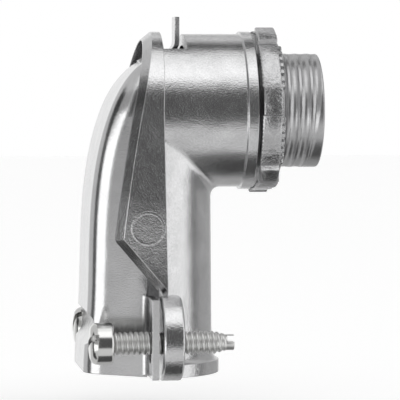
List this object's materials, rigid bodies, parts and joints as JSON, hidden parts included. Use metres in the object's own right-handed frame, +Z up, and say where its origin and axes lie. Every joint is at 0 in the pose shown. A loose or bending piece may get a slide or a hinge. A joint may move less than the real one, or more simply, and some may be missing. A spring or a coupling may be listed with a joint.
{
  "type": "elbow conduit connector",
  "caption": "Right-angle conduit connector: a cast elbow with a threaded hub and toothed locknut, and a hooked cover that slotted screws draw down onto flexible conduit.",
  "frame": {"origin": "on the axis of the threaded hub, in the plane of the shoulder that bears on the box wall", "axes": "+X along the hub's axis, out of the thread into the box; +Z up; the conduit enters from below, along -Z; Y = 0 is the mid-plane, and the side with the nearer screw in the picture is -Y"},
  "size_m": [0.0442, 0.042, 0.0656],
  "materials": {
    "body_casting": "die-cast zinc, satin, finely grained",
    "cover_casting": "die-cast zinc, satin, finely grained",
    "locknut_casting": "die-cast zinc, satin, with fine serrations",
    "screw_steel": "zinc-plated steel, bright"
  },
  "bodies": {
    "body": {"body": "body_casting"},
    "cover": {"cover": "cover_casting"},
    "locknut": {"locknut": "locknut_casting"},
    "near_screw": {"near_screw": "screw_steel"},
    "far_screw": {"far_screw": "screw_steel"}
  },
  "joints": [
    {"name": "cover_swing", "type": "hinge", "parent": "body", "child": "cover", "pos_m": [-0.0136, 0, 0.0116], "axis": [0, 1, 0], "range_deg": [0, 6.5]},
    {"name": "locknut_turn", "type": "hinge", "parent": "body", "child": "locknut", "pos_m": [0.0025, 0, 0], "axis": [1, 0, 0], "continuous": true},
    {"name": "near_screw_turn", "type": "hinge", "parent": "body", "child": "near_screw", "pos_m": [-0.018, -0.0169, -0.0413], "axis": [1, 0, 0], "continuous": true},
    {"name": "far_screw_turn", "type": "hinge", "parent": "body", "child": "far_screw", "pos_m": [-0.018, 0.0169, -0.0413], "axis": [1, 0, 0], "continuous": true}
  ]
}
